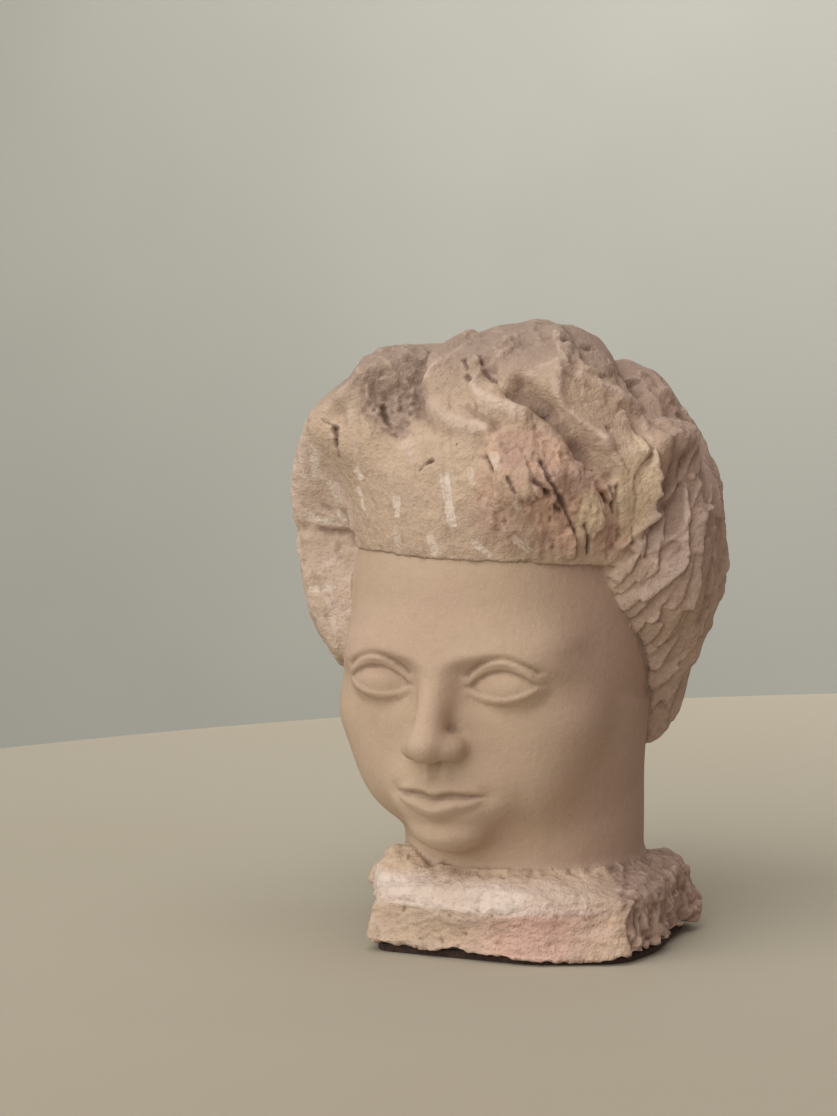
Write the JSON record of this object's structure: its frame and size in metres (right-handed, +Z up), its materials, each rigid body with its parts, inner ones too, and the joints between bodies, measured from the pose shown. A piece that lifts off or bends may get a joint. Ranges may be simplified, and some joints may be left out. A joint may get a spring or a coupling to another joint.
{
  "type": "stone bust",
  "caption": "Carved stone head with heavy carved hair on a short neck and a rough block foot, resting on a thin dark pad.",
  "frame": {"origin": "on the table, at the underside of the pad, under the axis of the head", "axes": "+Z up; -Y is the front of the block; the face looks 7 degrees from -Y towards -X"},
  "size_m": [0.1915, 0.2003, 0.2734],
  "materials": {
    "stone": "dry, fine-grained, hand-carved",
    "felt": "matt felt"
  },
  "bodies": {
    "root": {"stone_bust": "stone", "felt_pad": "felt"}
  },
  "joints": []
}
